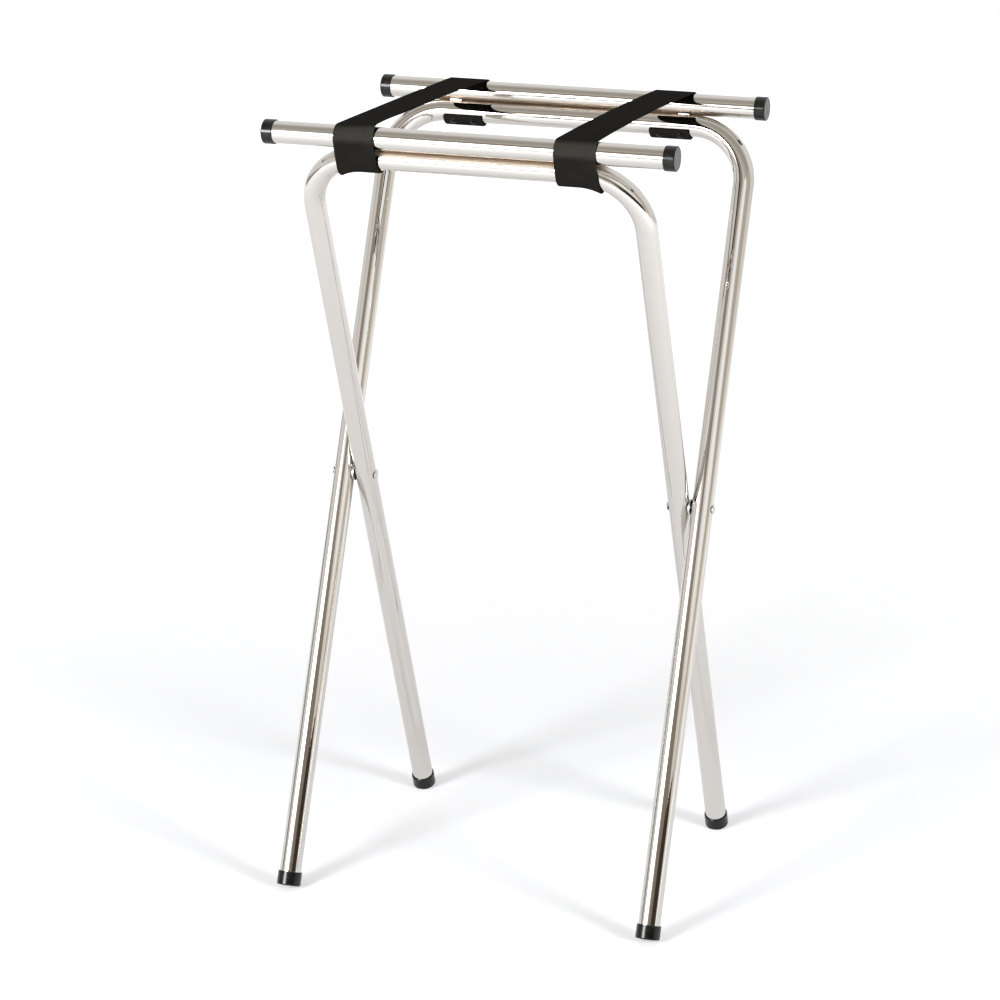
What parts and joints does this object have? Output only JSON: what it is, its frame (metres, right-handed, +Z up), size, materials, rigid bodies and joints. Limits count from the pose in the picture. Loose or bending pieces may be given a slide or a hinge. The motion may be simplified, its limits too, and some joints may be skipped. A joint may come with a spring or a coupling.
{
  "type": "tray stand",
  "caption": "Folding tray stand: crossed chrome tube legs on rivet pivots, straight top rails with end caps, and webbing straps that hold the rails apart.",
  "frame": {"origin": "on the floor under the middle of the pivot line", "axes": "+X along the rails to the right, -Y to the front where the inner frame's rail is, +Z up"},
  "size_m": [0.48, 0.3922, 0.9214],
  "materials": {
    "chrome_tube": "bright chrome plate",
    "rivet_steel": "zinc-plated steel",
    "rivet_black": "blackened steel",
    "black_vinyl": "moulded vinyl with a soft gloss",
    "strap_webbing": "woven webbing"
  },
  "bodies": {
    "outer_frame": {"outer_leg_frame": "chrome_tube", "outer_top_rail": "chrome_tube", "outer_rail_welds": "chrome_tube", "outer_strap_rivets": "rivet_black", "outer_rail_cap_left": "black_vinyl", "outer_foot_left": "black_vinyl", "left_strap_rear_wrap": "strap_webbing", "outer_rail_cap_right": "black_vinyl", "outer_foot_right": "black_vinyl", "right_strap_rear_wrap": "strap_webbing", "pivot_rivet_left": "rivet_steel", "pivot_spacer_left": "rivet_steel", "pivot_backing_left": "rivet_steel", "pivot_rivet_right": "rivet_steel", "pivot_spacer_right": "rivet_steel", "pivot_backing_right": "rivet_steel"},
    "inner_frame": {"inner_leg_frame": "chrome_tube", "inner_top_rail": "chrome_tube", "inner_rail_welds": "chrome_tube", "inner_strap_rivets": "rivet_black", "inner_rail_cap_left": "black_vinyl", "inner_foot_left": "black_vinyl", "left_strap_front_wrap": "strap_webbing", "inner_rail_cap_right": "black_vinyl", "inner_foot_right": "black_vinyl", "right_strap_front_wrap": "strap_webbing"},
    "front_strap_spans": {"left_strap_front_span": "strap_webbing", "right_strap_front_span": "strap_webbing"},
    "rear_strap_spans": {"left_strap_rear_span": "strap_webbing", "right_strap_rear_span": "strap_webbing"}
  },
  "joints": [
    {"name": "fold", "type": "hinge", "parent": "outer_frame", "child": "inner_frame", "pos_m": [0, 0, 0.46501], "axis": [-1, 0, 0], "range_deg": [0, 37.4], "deforming": ["left_strap_front_span", "right_strap_front_span", "left_strap_rear_span", "right_strap_rear_span"]},
    {"name": "front_strap_swing", "type": "hinge", "parent": "inner_frame", "child": "front_strap_spans", "pos_m": [0, -0.17378, 0.9017], "axis": [-1, 0, 0], "range_deg": [0, 70]},
    {"name": "rear_strap_swing", "type": "hinge", "parent": "outer_frame", "child": "rear_strap_spans", "pos_m": [0, 0.17378, 0.9017], "axis": [1, 0, 0], "range_deg": [0, 70]}
  ],
  "couplings": [
    {"joint": "front_strap_swing", "follows": "fold", "ratio": 1.8676},
    {"joint": "rear_strap_swing", "follows": "fold", "ratio": 1.8676}
  ]
}
